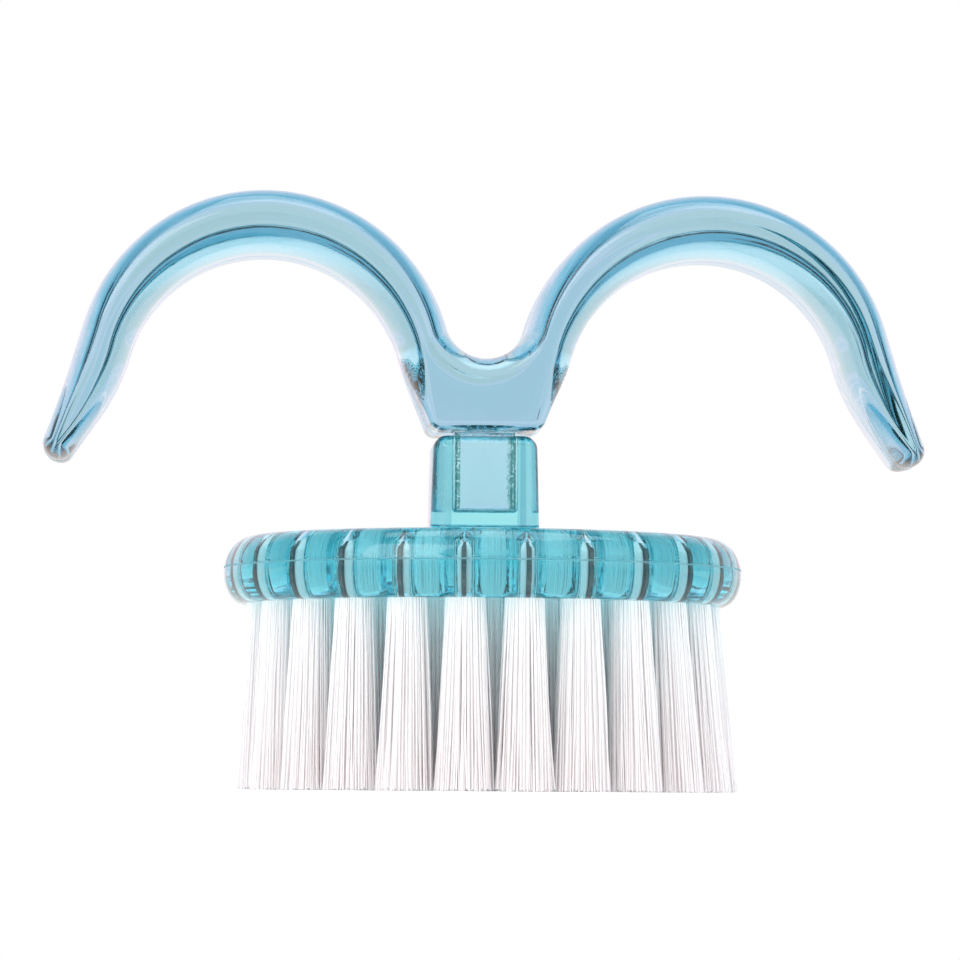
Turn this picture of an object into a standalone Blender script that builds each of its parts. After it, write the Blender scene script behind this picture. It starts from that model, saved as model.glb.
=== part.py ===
"""Nail dust brush: a clear handle with two finger arches, pressed into a round tufted head.

The brush stands on its bristle tips at z = 0, with the head's axis on z.
The arches span x, and the handle's depth runs along y. All sizes are in metres.
"""
from math import atan2, ceil, cos, hypot, pi, radians, sin, sqrt, tan

import bmesh
import bpy
from mathutils import Matrix, Vector

# Head
HEAD_RADIUS = 0.0250
HEAD_THICKNESS = 0.0065
RIM_TOP_WIDTH = 0.0030
RIM_TOP_HEIGHT = 0.0034
RIM_FOOT_WIDTH = 0.0020
HEAD_STEPS = 64
RIM_STEPS = 5

# Stem and its socket
STEM_HEIGHT = 0.00975
STEM_DEPTH = 0.0096
STEM_DRAFT = radians(1.6)
STEM_CORNER = 0.0011
STEM_TOP_ROUND = 0.0006
STEM_FLARE = 0.0012
SOCKET_FLOOR = 0.0023

# Handle outline
ARCH_OUTER_RADIUS = 0.0182
ARCH_HEIGHT = 0.02325
LEG_THICKNESS = 0.0048
CROWN_THICKNESS = 0.0062
VALLEY_HALF_GAP = 0.00305
VALLEY_RADIUS = 0.0039
TIP_RADIUS = 0.0016
TIP_SPLAY = 0.0030
TIP_HEIGHT = -0.0030
HUB_WIDTH = 0.0106
HUB_CORNER = 0.0012
OUTER_LEAVE_TILT = radians(17)
OUTER_TIP_TILT = radians(22)
INNER_LEAVE_TILT = radians(15.5)
INNER_TIP_TILT = radians(34)
HUB_TILT = radians(21)
BLEND_REACH = 0.38

# Handle section and peg
HANDLE_DEPTH = 0.0154
OVAL_LENGTH = 0.0050
OVAL_SHARE = 0.43
FOOT_LENGTH = 0.0016
FOOT_SHARE = 0.65
OVAL_ROWS = 5
PEG_WIDTH = 0.0058
PEG_CORNER = 0.0004
HUB_OVERHANG = 0.0003

# Tufts
BRISTLE_LENGTH = 0.0178
TUFTS_PER_RING = (24, 18, 11, 5)
INNER_RING_RADIUS = 0.0044
TUFT_RADIUS = 0.0018
TUFT_DEPTH = 0.0043
TUFT_LEAN = 0.022
TIP_GAP = 0.0004
STRANDS_ROUND_CENTRE = 6
STRAND_SPREAD = 0.00112
STRAND_RADIUS = 0.00052
TUFT_SIDES = 8
STRAND_SIDES = 3

# Clearances
SEAT_GAP = 0.0003
PEG_CLEARANCE = 0.0002
TUFT_CLEARANCE = 0.00015
HOLE_MARGIN = 0.00005

# Fineness of curved outlines
OUTLINE_STEP = 0.0016
OUTLINE_TURN = radians(16)
MERGE = 0.000001

# Heights and widths that follow from the sizes above
HEAD_TOP = BRISTLE_LENGTH + HEAD_THICKNESS
STEM_TOP = HEAD_TOP + STEM_HEIGHT
HUB_BOTTOM = STEM_TOP + SEAT_GAP
HOLE_RADIUS = TUFT_RADIUS + TUFT_CLEARANCE
UNDERSIDE_RADIUS = HEAD_RADIUS - RIM_FOOT_WIDTH
OUTER_RING_RADIUS = UNDERSIDE_RADIUS - HOLE_MARGIN - HOLE_RADIUS
STEM_WIDTH = HUB_WIDTH - 2 * HUB_OVERHANG
PEG_LENGTH = STEM_HEIGHT - SOCKET_FLOOR

AQUA = (0.30, 0.74, 0.86, 1.0)
NYLON = (0.93, 0.92, 0.92, 1.0)


def clear_scene():
    for obj in list(bpy.data.objects):
        bpy.data.objects.remove(obj, do_unlink=True)


def new_collection(name):
    collection = bpy.data.collections.new(name)
    bpy.context.scene.collection.children.link(collection)
    return collection


def clear_plastic(name):
    material = bpy.data.materials.new(name)
    material.use_nodes = True
    shader = material.node_tree.nodes["Principled BSDF"]
    shader.inputs["Base Color"].default_value = AQUA
    shader.inputs["Roughness"].default_value = 0.04
    shader.inputs["Metallic"].default_value = 0.0
    shader.inputs["IOR"].default_value = 1.49
    shader.inputs["Transmission Weight"].default_value = 0.9
    return material


def nylon(name):
    material = bpy.data.materials.new(name)
    material.use_nodes = True
    shader = material.node_tree.nodes["Principled BSDF"]
    shader.inputs["Base Color"].default_value = NYLON
    shader.inputs["Roughness"].default_value = 0.45
    shader.inputs["Metallic"].default_value = 0.0
    return material


def mesh_object(name, mesh, collection, material=None):
    obj = bpy.data.objects.new(name, mesh)
    collection.objects.link(obj)
    if material is not None:
        obj.data.materials.append(material)
    return obj


def hide_tool(obj):
    obj.hide_render = True
    obj.display_type = "WIRE"
    return obj


def add_boolean(obj, tool, operation):
    modifier = obj.modifiers.new(operation.lower(), "BOOLEAN")
    modifier.operation = operation
    modifier.solver = "EXACT"
    modifier.object = tool


def shade_round(mesh, angle=radians(35)):
    mesh.shade_smooth()
    mesh.set_sharp_from_angle(angle=angle)


# Outline helpers, in the plane of the handle: a point is (x, z)

def on_circle(centre, radius, angle):
    return Vector((centre.x + radius * cos(angle), centre.y + radius * sin(angle)))


def arc(centre, radius, start, end):
    """Points along a circle from one angle to another, both ends included."""
    turn = abs(end - start)
    count = max(2, ceil(radius * turn / OUTLINE_STEP), ceil(turn / OUTLINE_TURN))
    return [on_circle(centre, radius, start + (end - start) * i / count) for i in range(count + 1)]


def blend_curve(start, start_heading, end, end_heading):
    """Inner points of a smooth curve that leaves and arrives along two headings."""
    reach = (end - start).length * BLEND_REACH
    first = start + start_heading * reach
    last = end - end_heading * reach
    count = max(2, ceil((end - start).length / OUTLINE_STEP))
    points = []
    for i in range(1, count):
        t = i / count
        u = 1 - t
        points.append(start * u ** 3 + first * 3 * u * u * t + last * 3 * u * t * t + end * t ** 3)
    return points


def half_outline():
    """The handle's outline at x >= 0, from the valley's floor round the arch to the hub's foot."""
    arch_x = ARCH_OUTER_RADIUS + VALLEY_HALF_GAP
    crown_top = HUB_BOTTOM + ARCH_HEIGHT
    outer_centre = Vector((arch_x, crown_top - ARCH_OUTER_RADIUS))
    inner_radius = ARCH_OUTER_RADIUS - LEG_THICKNESS
    inner_centre = Vector((arch_x, crown_top - CROWN_THICKNESS - inner_radius))
    far_x = arch_x + ARCH_OUTER_RADIUS + TIP_SPLAY
    tip_centre = Vector((far_x - TIP_RADIUS, HUB_BOTTOM + TIP_HEIGHT + TIP_RADIUS))

    # Valley floor: a fillet circle on the axis that touches both outer circles
    rise = sqrt((ARCH_OUTER_RADIUS + VALLEY_RADIUS) ** 2 - arch_x ** 2)
    valley_centre = Vector((0, outer_centre.y + rise))
    touch = atan2(-rise, arch_x)
    points = arc(valley_centre, VALLEY_RADIUS, -pi / 2, touch)

    # Outer edge of the arch, over the crown and down the far leg
    points += arc(outer_centre, ARCH_OUTER_RADIUS, pi + touch, OUTER_LEAVE_TILT)[1:]
    tip = arc(tip_centre, TIP_RADIUS, OUTER_TIP_TILT, INNER_TIP_TILT - pi)
    heading = Vector((sin(OUTER_LEAVE_TILT), -cos(OUTER_LEAVE_TILT)))
    points += blend_curve(points[-1], heading, tip[0], Vector((sin(OUTER_TIP_TILT), -cos(OUTER_TIP_TILT))))
    points += tip

    # Inner edge, back over the crown and down the near leg to the hub's corner
    inner = arc(inner_centre, inner_radius, INNER_LEAVE_TILT, pi - INNER_LEAVE_TILT)
    heading = Vector((-sin(INNER_TIP_TILT), cos(INNER_TIP_TILT)))
    points += blend_curve(tip[-1], heading, inner[0], Vector((-sin(INNER_LEAVE_TILT), cos(INNER_LEAVE_TILT))))
    points += inner
    corner_turn = pi / 2 - HUB_TILT
    corner_centre = Vector((HUB_WIDTH / 2 - HUB_CORNER * tan(corner_turn / 2), HUB_BOTTOM + HUB_CORNER))
    corner = arc(corner_centre, HUB_CORNER, -HUB_TILT, -pi / 2)
    heading = Vector((-sin(INNER_LEAVE_TILT), -cos(INNER_LEAVE_TILT)))
    points += blend_curve(points[-1], heading, corner[0], Vector((-sin(HUB_TILT), -cos(HUB_TILT))))
    points += corner
    return points


def handle_outline():
    """The whole closed outline: one half and its mirror image, sharing the valley's floor point."""
    right = half_outline()
    left = [Vector((-p.x, p.y)) for p in reversed(right[1:])]
    return right + left


def smooth_step(value, low, high):
    share = min(max((value - low) / (high - low), 0), 1)
    return share * share * (3 - 2 * share)


def oval_size(point):
    """How far the section's oval end reaches into the outline at a point, and how long it is along y."""
    x, z = abs(point.x), point.y
    arch_x = ARCH_OUTER_RADIUS + VALLEY_HALF_GAP
    centre_z = HUB_BOTTOM + ARCH_HEIGHT - ARCH_OUTER_RADIUS
    rise = max((z - centre_z) / hypot(x - arch_x, z - centre_z), 0)
    reach = OVAL_SHARE * (LEG_THICKNESS + (CROWN_THICKNESS - LEG_THICKNESS) * rise)

    # Narrower at the round tips, in step with their radius
    tip_x = arch_x + ARCH_OUTER_RADIUS + TIP_SPLAY - TIP_RADIUS
    tip_z = HUB_BOTTOM + TIP_HEIGHT + TIP_RADIUS
    at_tip = OVAL_SHARE * 2 * TIP_RADIUS
    reach = at_tip + (reach - at_tip) * smooth_step(hypot(x - tip_x, z - tip_z), TIP_RADIUS * 1.3, TIP_RADIUS * 6)
    if x > arch_x:
        return reach, OVAL_LENGTH

    # Much tighter at the hub's foot, which stands flat over the stem
    share = smooth_step(z - HUB_BOTTOM, HUB_CORNER * 0.4, HUB_CORNER * 5)
    at_foot = HUB_CORNER * FOOT_SHARE
    return at_foot + (reach - at_foot) * share, FOOT_LENGTH + (OVAL_LENGTH - FOOT_LENGTH) * share


def inward_normals(outline):
    """Unit normals that point into the closed outline, one for each of its points."""
    normals = []
    for before, point, after in zip(outline[-1:] + outline[:-1], outline, outline[1:] + outline[:1]):
        heading = (point - before).normalized() + (after - point).normalized()
        normals.append(Vector((heading.y, -heading.x)).normalized())
    return normals


def oval_plate(name, outline, depth, collection, material=None):
    """An outline in x and z carried from the front face, round an oval end, to the back face at +y."""
    sizes = [oval_size(p) for p in outline]
    normals = inward_normals(outline)
    front = []
    for row in range(OVAL_ROWS + 1):
        angle = pi / 2 * (1 - row / OVAL_ROWS)
        ring = []
        for point, normal, (reach, length) in zip(outline, normals, sizes):
            at = point + normal * reach * (1 - cos(angle))
            ring.append((at.x, -depth / 2 + length * (1 - sin(angle)), at.y))
        front.append(ring)
    back = [[(x, -y, z) for x, y, z in ring] for ring in reversed(front)]
    shape = bmesh.new()
    rings = [[shape.verts.new(p) for p in ring] for ring in front + back]
    sides = []
    for near, far in zip(rings, rings[1:]):
        for i in range(len(outline)):
            j = (i + 1) % len(outline)
            sides.append(shape.faces.new((near[i], near[j], far[j], far[i])))
    bmesh.ops.triangulate(shape, faces=sides)
    shape.faces.new(rings[0])
    shape.faces.new(rings[-1])
    bmesh.ops.recalc_face_normals(shape, faces=shape.faces)
    mesh = bpy.data.meshes.new(name)
    shape.to_mesh(mesh)
    shape.free()
    return mesh_object(name, mesh, collection, material)


def block(name, size, centre, collection):
    """A plain box whose mesh already has its real size."""
    shape = bmesh.new()
    bmesh.ops.create_cube(shape, size=1, matrix=Matrix.Diagonal((*size, 1)))
    mesh = bpy.data.meshes.new(name)
    shape.to_mesh(mesh)
    shape.free()
    obj = mesh_object(name, mesh, collection)
    obj.location = centre
    return obj


def round_edges(obj, width, segments, angle=radians(50)):
    bevel = obj.modifiers.new("rounded_edges", "BEVEL")
    bevel.width = width
    bevel.segments = segments
    bevel.limit_method = "ANGLE"
    bevel.angle_limit = angle
    bevel.use_clamp_overlap = True


def build_handle(parts, tools):
    """Both arches and the hub are one bar of oval section, with the peg moulded on below."""
    handle = oval_plate("handle", handle_outline(), HANDLE_DEPTH, parts, clear_plastic("handle_clear_aqua"))
    sunk = 2 * HUB_CORNER
    peg_size = (PEG_WIDTH, PEG_WIDTH, PEG_LENGTH + sunk)
    peg = hide_tool(block("peg_shape", peg_size, (0, 0, HUB_BOTTOM + sunk - peg_size[2] / 2), tools))
    round_edges(peg, PEG_CORNER, 2)
    add_boolean(handle, peg, "UNION")
    shade_round(handle.data)
    return handle


def rim_profile():
    """Half section of the disc, from the top's centre round the rim to the underside's centre."""
    widest = BRISTLE_LENGTH + HEAD_THICKNESS - RIM_TOP_HEIGHT
    foot_height = widest - BRISTLE_LENGTH
    profile = [(0, HEAD_TOP)]
    for i in range(RIM_STEPS + 1):
        angle = pi / 2 * (1 - i / RIM_STEPS)
        radius = HEAD_RADIUS - RIM_TOP_WIDTH * (1 - cos(angle))
        profile.append((radius, widest + RIM_TOP_HEIGHT * sin(angle)))
    for i in range(1, RIM_STEPS + 1):
        angle = pi / 2 * i / RIM_STEPS
        radius = HEAD_RADIUS - RIM_FOOT_WIDTH * (1 - cos(angle))
        profile.append((radius, widest - foot_height * sin(angle)))
    profile.append((0, BRISTLE_LENGTH))
    return profile


def turned(name, profile, steps, collection, material=None):
    """A profile in x and z, turned about the z axis."""
    mesh = bpy.data.meshes.new(name)
    edges = [(i, i + 1) for i in range(len(profile) - 1)]
    mesh.from_pydata([(x, 0, z) for x, z in profile], edges, [])
    obj = mesh_object(name, mesh, collection, material)
    screw = obj.modifiers.new("turned", "SCREW")
    screw.axis = "Z"
    screw.steps = steps
    screw.render_steps = steps
    screw.use_merge_vertices = True
    screw.merge_threshold = MERGE
    screw.use_smooth_shade = True
    return obj


def rounded_rectangle(half_x, half_y, corner, z):
    """Corner points of a rounded rectangle at height z, counter-clockwise from above."""
    points = []
    corner_steps = 4
    for quarter, (sx, sy) in enumerate(((1, 1), (-1, 1), (-1, -1), (1, -1))):
        centre = Vector((sx * (half_x - corner), sy * (half_y - corner)))
        for i in range(corner_steps + 1):
            angle = pi / 2 * (quarter + i / corner_steps)
            points.append((centre.x + corner * cos(angle), centre.y + corner * sin(angle), z))
    return points


def stem_grow(height):
    """How far the stem's side stands out at a height above the head, beyond its top outline."""
    draft = (STEM_HEIGHT - height) * tan(STEM_DRAFT)
    flare = 0
    if height < STEM_FLARE:
        flare = STEM_FLARE - sqrt(STEM_FLARE ** 2 - (STEM_FLARE - max(height, 0)) ** 2)
    return draft + flare


def build_stem(tools):
    """The stem is a loft of rounded rectangles: a flared foot, drafted sides and a rounded top edge."""
    sunk = RIM_TOP_HEIGHT / 2
    levels = [(-sunk, stem_grow(0))]
    flare_steps = 4
    for i in range(flare_steps + 1):
        height = STEM_FLARE * (1 - cos(pi / 2 * i / flare_steps))
        levels.append((height, stem_grow(height)))
    top_steps = 3
    for i in range(top_steps + 1):
        angle = pi / 2 * i / top_steps
        height = STEM_HEIGHT - STEM_TOP_ROUND * (1 - sin(angle))
        levels.append((height, stem_grow(height) - STEM_TOP_ROUND * (1 - cos(angle))))
    shape = bmesh.new()
    rings = []
    for height, grow in levels:
        half_x = STEM_WIDTH / 2 + grow
        half_y = STEM_DEPTH / 2 + grow
        ring = rounded_rectangle(half_x, half_y, STEM_CORNER + grow, HEAD_TOP + height)
        rings.append([shape.verts.new(p) for p in ring])
    for lower, upper in zip(rings, rings[1:]):
        for i in range(len(lower)):
            j = (i + 1) % len(lower)
            shape.faces.new((lower[i], lower[j], upper[j], upper[i]))
    shape.faces.new(reversed(rings[0]))
    shape.faces.new(rings[-1])
    mesh = bpy.data.meshes.new("stem_shape")
    shape.to_mesh(mesh)
    shape.free()
    return hide_tool(mesh_object("stem_shape", mesh, tools))


def tuft_places():
    """Ring number, place in the ring, ring radius and angle of every tuft, from the rim inwards."""
    places = []
    steps = len(TUFTS_PER_RING) - 1
    for ring, count in enumerate(TUFTS_PER_RING):
        radius = OUTER_RING_RADIUS + (INNER_RING_RADIUS - OUTER_RING_RADIUS) * ring / steps
        for i in range(count):
            offset = 0.5 if ring % 2 == 0 else 0.0
            places.append((ring + 1, i + 1, radius, 2 * pi * (i + offset) / count - pi / 2))
    return places


def build_hole_cutters(tools):
    """All the blind tuft holes as separate closed cylinders in one cutter."""
    depth = TUFT_DEPTH + SEAT_GAP
    shape = bmesh.new()
    for _, _, radius, angle in tuft_places():
        place = Matrix.Rotation(angle, 4, "Z") @ Matrix.Translation((radius, 0, BRISTLE_LENGTH))
        bmesh.ops.create_cone(shape, cap_ends=True, segments=TUFT_SIDES, radius1=HOLE_RADIUS,
                              radius2=HOLE_RADIUS, depth=2 * depth, matrix=place)
    mesh = bpy.data.meshes.new("tuft_hole_cutters")
    shape.to_mesh(mesh)
    shape.free()
    return hide_tool(mesh_object("tuft_hole_cutters", mesh, tools))


def build_head(parts, tools):
    """The disc is turned, joined to the stem, then cut by the socket and the tuft holes."""
    head = turned("head", rim_profile(), HEAD_STEPS, parts, clear_plastic("head_clear_aqua"))
    add_boolean(head, build_stem(tools), "UNION")
    width = PEG_WIDTH + 2 * PEG_CLEARANCE
    depth = PEG_LENGTH
    socket = hide_tool(block("socket_cutter", (width, width, 2 * depth), (0, 0, STEM_TOP), tools))
    add_boolean(head, socket, "DIFFERENCE")
    add_boolean(head, build_hole_cutters(tools), "DIFFERENCE")
    shade_round(head.data)
    return head


def tuft_tip_radius():
    """Tufts fan out until they all but touch at the tips, in their ring and to the next."""
    grown = 1 + TUFT_LEAN
    rings = {}
    for ring, _, radius, _ in tuft_places():
        rings[ring] = radius
    pitches = [2 * radius * sin(pi / TUFTS_PER_RING[ring - 1]) for ring, radius in rings.items()]
    radii = sorted(rings.values())
    pitches += [b - a for a, b in zip(radii, radii[1:])]
    return (min(pitches) * grown - TIP_GAP) / 2


def add_strand(shape, root, tip, root_radius, tip_radius, turn):
    """One bristle strand: a slim three-sided prism that ends flat at z = 0."""
    rings = []
    for centre, radius in ((root, root_radius), (tip, tip_radius)):
        ring = []
        for i in range(STRAND_SIDES):
            angle = turn + 2 * pi * i / STRAND_SIDES
            ring.append(shape.verts.new(centre + Vector((cos(angle), sin(angle), 0)) * radius))
        rings.append(ring)
    upper, lower = rings
    for i in range(STRAND_SIDES):
        j = (i + 1) % STRAND_SIDES
        shape.faces.new((upper[i], lower[i], lower[j], upper[j]))
    shape.faces.new(upper)
    shape.faces.new(reversed(lower))


def strands_mesh(name, ring_radius):
    """The strands of one tuft, for a tuft whose hole lies at x = ring_radius."""
    tip_radius = tuft_tip_radius()
    spread = tip_radius / (STRAND_SPREAD + STRAND_RADIUS)
    root_z = BRISTLE_LENGTH + TUFT_DEPTH / 3
    shape = bmesh.new()
    places = [(0, 0)]
    places += [(STRAND_SPREAD, 2 * pi * i / STRANDS_ROUND_CENTRE) for i in range(STRANDS_ROUND_CENTRE)]
    for distance, angle in places:
        outward = Vector((cos(angle), sin(angle), 0)) * distance
        root = Vector((ring_radius, 0, BRISTLE_LENGTH)) + outward
        tip = Vector((ring_radius * (1 + TUFT_LEAN), 0, 0)) + outward * spread
        above = (root - tip) * ((root_z - BRISTLE_LENGTH) / BRISTLE_LENGTH)
        add_strand(shape, root + above, tip, STRAND_RADIUS, STRAND_RADIUS * spread, angle)
    mesh = bpy.data.meshes.new(name)
    shape.to_mesh(mesh)
    shape.free()
    return mesh


def root_mesh(name, ring_radius):
    """The bound root of a tuft, a plug that fills its blind hole up to the seat gap."""
    shape = bmesh.new()
    place = Matrix.Translation((ring_radius, 0, BRISTLE_LENGTH + TUFT_DEPTH / 2))
    bmesh.ops.create_cone(shape, cap_ends=True, segments=TUFT_SIDES, radius1=TUFT_RADIUS,
                          radius2=TUFT_RADIUS, depth=TUFT_DEPTH, matrix=place)
    mesh = bpy.data.meshes.new(name)
    shape.to_mesh(mesh)
    shape.free()
    return mesh


def build_tufts(parts, tools):
    """Each tuft is its own piece: strands joined to a root, turned round the head's axis to its hole."""
    material = nylon("white_nylon")
    roots = {}
    strands = {}
    for ring, number, radius, angle in tuft_places():
        if ring not in roots:
            roots[ring] = root_mesh(f"tuft_root_ring_{ring}", radius)
            roots[ring].materials.append(material)
            strands[ring] = strands_mesh(f"tuft_strands_ring_{ring}", radius)
        name = f"tuft_ring{ring}_{number:02d}"
        tool = hide_tool(mesh_object(name + "_strands", strands[ring], tools))
        tuft = mesh_object(name, roots[ring], parts)
        for obj in (tool, tuft):
            obj.rotation_euler = (0, 0, angle)
        add_boolean(tuft, tool, "UNION")


def build_brush():
    clear_scene()
    parts = new_collection("nail_dust_brush")
    tools = new_collection("nail_dust_brush_cutters")
    build_handle(parts, tools)
    build_head(parts, tools)
    build_tufts(parts, tools)
    bpy.context.view_layer.update()
    print(f"tuft tip radius {tuft_tip_radius() * 1000:.2f} mm")


build_brush()
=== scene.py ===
"""Looks of the nail dust brush: two clear aqua mouldings and 58 nylon tufts, on a white table.

All sizes are in metres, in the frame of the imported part: the tips stand on z = 0 and the head turns about z.
"""
from collections import namedtuple
from math import atan2, ceil, cos, pi, radians, sin, sqrt, tan

import bmesh
import bpy
import numpy as np
from mathutils import Matrix, Vector


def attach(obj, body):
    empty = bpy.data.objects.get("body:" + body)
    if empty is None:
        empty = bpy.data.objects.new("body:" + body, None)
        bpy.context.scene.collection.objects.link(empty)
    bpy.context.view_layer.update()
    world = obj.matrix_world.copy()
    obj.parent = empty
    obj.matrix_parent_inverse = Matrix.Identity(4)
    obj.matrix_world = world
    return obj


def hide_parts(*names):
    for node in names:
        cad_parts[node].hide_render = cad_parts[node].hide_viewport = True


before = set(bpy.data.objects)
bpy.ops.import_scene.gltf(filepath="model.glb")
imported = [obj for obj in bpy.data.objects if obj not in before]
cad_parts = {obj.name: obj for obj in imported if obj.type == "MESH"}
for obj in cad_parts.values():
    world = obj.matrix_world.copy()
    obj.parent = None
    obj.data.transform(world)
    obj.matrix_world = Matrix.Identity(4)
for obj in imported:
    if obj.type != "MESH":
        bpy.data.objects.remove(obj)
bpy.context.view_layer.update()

# Head
HEAD_RADIUS = 0.0250
HEAD_THICKNESS = 0.0065
RIM_TOP_WIDTH = 0.0030
RIM_TOP_HEIGHT = 0.0034
RIM_FOOT_WIDTH = 0.0020
HEAD_TURN_STEPS = 224
RIM_STEPS = 14
FLAT_MARGIN = 0.0002
BOX_MARGIN = 0.00002

# Stem and its socket
STEM_HEIGHT = 0.00975
STEM_DEPTH = 0.0096
STEM_DRAFT = radians(1.6)
STEM_CORNER = 0.0016
STEM_TOP_ROUND = 0.0013
STEM_FLARE = 0.0012
STEM_FLARE_STEPS = 10
STEM_TOP_STEPS = 7
STEM_CORNER_STEPS = 10
SOCKET_FLOOR = 0.0023

# Handle outline
ARCH_OUTER_RADIUS = 0.0182
ARCH_HEIGHT = 0.02325
LEG_THICKNESS = 0.0048
CROWN_THICKNESS = 0.0062
VALLEY_HALF_GAP = 0.00305
VALLEY_RADIUS = 0.0039
TIP_RADIUS = 0.0016
TIP_SPLAY = 0.0030
TIP_HEIGHT = -0.0030
HUB_WIDTH = 0.0106
HUB_CORNER = 0.0012
OUTER_LEAVE_TILT = radians(17)
OUTER_TIP_TILT = radians(22)
INNER_LEAVE_TILT = radians(15.5)
INNER_TIP_TILT = radians(34)
HUB_TILT = radians(21)
BLEND_REACH = 0.38
OUTLINE_STEP = 0.0004
OUTLINE_TURN = radians(5)

# Handle section and peg
HANDLE_DEPTH = 0.0154
OVAL_LENGTH = 0.0050
OVAL_SHARE = 0.43
OVAL_TIP_START = TIP_RADIUS * 1.3
OVAL_TIP_END = TIP_RADIUS * 6
OVAL_HUB_START = HUB_CORNER * 0.4
OVAL_HUB_END = HUB_CORNER * 5
FOOT_LENGTH = 0.0016
FOOT_SHARE = 0.65
OVAL_ROWS = 18
PEG_WIDTH = 0.0058
PEG_CORNER = 0.0004
PEG_CORNER_STEPS = 4
SOCKET_CORNER_STEPS = 3
HUB_OVERHANG = 0.0003
SMOOTH_ANGLE = radians(28)

# Parting lines left by the moulds
LINE_RISE = 0.00004
LINE_HALF_WIDTH = 0.00007
LINE_DULL_HALF_WIDTH = LINE_HALF_WIDTH * 1.2
HEAD_LINE_BELOW_TOP = 0.0030

# Tufts
BRISTLE_LENGTH = 0.0178
TUFTS_PER_RING = (24, 18, 11, 5)
INNER_RING_RADIUS = 0.0044
TUFT_RADIUS = 0.0018
TUFT_DEPTH = 0.0043
TUFT_LEAN = 0.022
TIP_GAP = 0.0004
BRISTLES_PER_TUFT = 300
BRISTLE_RADIUS = 0.000070
BRISTLE_SIDES = 5
BRISTLE_STEPS = 6
BRISTLE_BOW = 0.00008
BORE_INSET = BRISTLE_RADIUS * 1.3
ROOT_INSET = BRISTLE_RADIUS * 1.5
TIP_UNEVENNESS = 0.00030
TIP_SCATTER = 0.00006
FAN_POWER = 1.1
SIDE_FAN_LIMIT = 1.25
FOLD_CROWN = 0.06
RIGHT_SPLAY = 0.0009
RIGHT_SPLAY_FROM = 0.3
RANDOM_SEED = 11

# Tuft holes: a flared mouth, a bore and the drill's point
HOLE_SIDES = 40
OUTER_BORE_RADIUS = 0.00100
INNER_BORE_RADIUS = 0.00170
MOUTH_DEPTH = 0.0012
FAN_START = MOUTH_DEPTH * 1.1
DRILL_POINT = 0.0004
DRILL_TIP_SHARE = 0.12

# Anchors: the flat metal pieces that hold each folded tuft in its hole
ANCHOR_WIDTH = 0.0030
INNER_ANCHOR_WIDTH = 0.0026
ANCHOR_HEIGHT = 0.0038
ANCHOR_THICKNESS = 0.00042
ANCHOR_BARB = 0.00022
ANCHOR_BARB_TIP = ANCHOR_BARB * 0.2
ANCHOR_SHOULDER = 0.25
ANCHOR_NOTCH = 0.45
ANCHOR_BARB_TOP = 0.85
ANCHOR_EDGE = 0.00005
ANCHOR_EDGE_STEPS = 2
ANCHOR_EDGE_PROFILE = 0.6

# Clearances
SEAT_GAP = 0.0003
PEG_CLEARANCE = 0.0002
TUFT_CLEARANCE = 0.00015
HOLE_MARGIN = 0.00005
MERGE = 0.000001

HEAD_TOP = BRISTLE_LENGTH + HEAD_THICKNESS
STEM_TOP = HEAD_TOP + STEM_HEIGHT
HUB_BOTTOM = STEM_TOP + SEAT_GAP
HOLE_RADIUS = TUFT_RADIUS + TUFT_CLEARANCE
HOLE_DEPTH = TUFT_DEPTH + SEAT_GAP
UNDERSIDE_RADIUS = HEAD_RADIUS - RIM_FOOT_WIDTH
OUTER_RING_RADIUS = UNDERSIDE_RADIUS - HOLE_MARGIN - HOLE_RADIUS
STEM_WIDTH = HUB_WIDTH - 2 * HUB_OVERHANG
PEG_LENGTH = STEM_HEIGHT - SOCKET_FLOOR
ARCH_X = ARCH_OUTER_RADIUS + VALLEY_HALF_GAP

# Clear styrene: what its body absorbs, and its surface
STYRENE_IOR = 1.56
HANDLE_ABSORBED = (0.45, 0.765, 0.85)
HANDLE_DENSITY = 100.0
HEAD_ABSORBED = (0.33, 0.955, 0.997)
HEAD_DENSITY = 140.0
CLOUD_TINTS = ((0.3, (0.955, 0.985, 1.0)), (0.7, (0.975, 0.975, 1.0)))
CLOUD_NOISE = dict(scale=140.0, detail=3.0, roughness=0.5)
RUB_NOISE = dict(scale=420.0, detail=4.0, roughness=0.6)
RUB_RANGE = (0.35, 0.75)
FLOW_NOISE = dict(scale=260.0, detail=2.0, roughness=0.45)
FLOW_STRENGTH = 0.10
FLOW_DEPTH = 0.0002
GRAIN_NOISE = dict(scale=3600.0, detail=2.0, roughness=0.6)
GRAIN_STRENGTH = 0.5
GRAIN_DEPTH = 0.00006
# Painted shade: dark specks along the corner columns of the peg and of its socket
CORNER_SHADE_RANGE = (0.36, 0.48)
CORNER_SHADE_WIDTH = 0.0006
CORNER_SHADE_COLOUR = (0.05, 0.22, 0.18)
# Painted shade: a deeper tint on the stem's corner columns around the socket
STEM_CORNER_SHADE = (0.48, 0.64, 0.72)
POLISHED_ROUGHNESS = 0.03
RUBBED_ROUGHNESS = 0.08
LINE_ROUGHNESS = 0.55
LAMP_TINT = (0.98, 0.995, 1.0)
ZONE_MARGIN = 0.0001

# Nylon, with painted shade from the greyer cut tips up to the whiter root
NYLON_IOR = 1.53
NYLON_ROUGHNESS = 0.42
NYLON_TRANSLUCENCY = 0.58
# Painted shade: greyer and warmer at the cut tips, whiter at the root
NYLON_TIP_SHADE = ((0.0, (0.992, 0.976, 0.975)), (0.9, (0.998, 0.993, 0.993)))
STREAK_NOISE = dict(scale=2600.0, detail=2.0, roughness=0.5)
STREAK_SQUEEZE = (1, 1, 0.03)
NYLON_STREAKS = ((0.35, (0.992, 0.984, 0.984)), (0.65, (1, 1, 1)))

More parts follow.
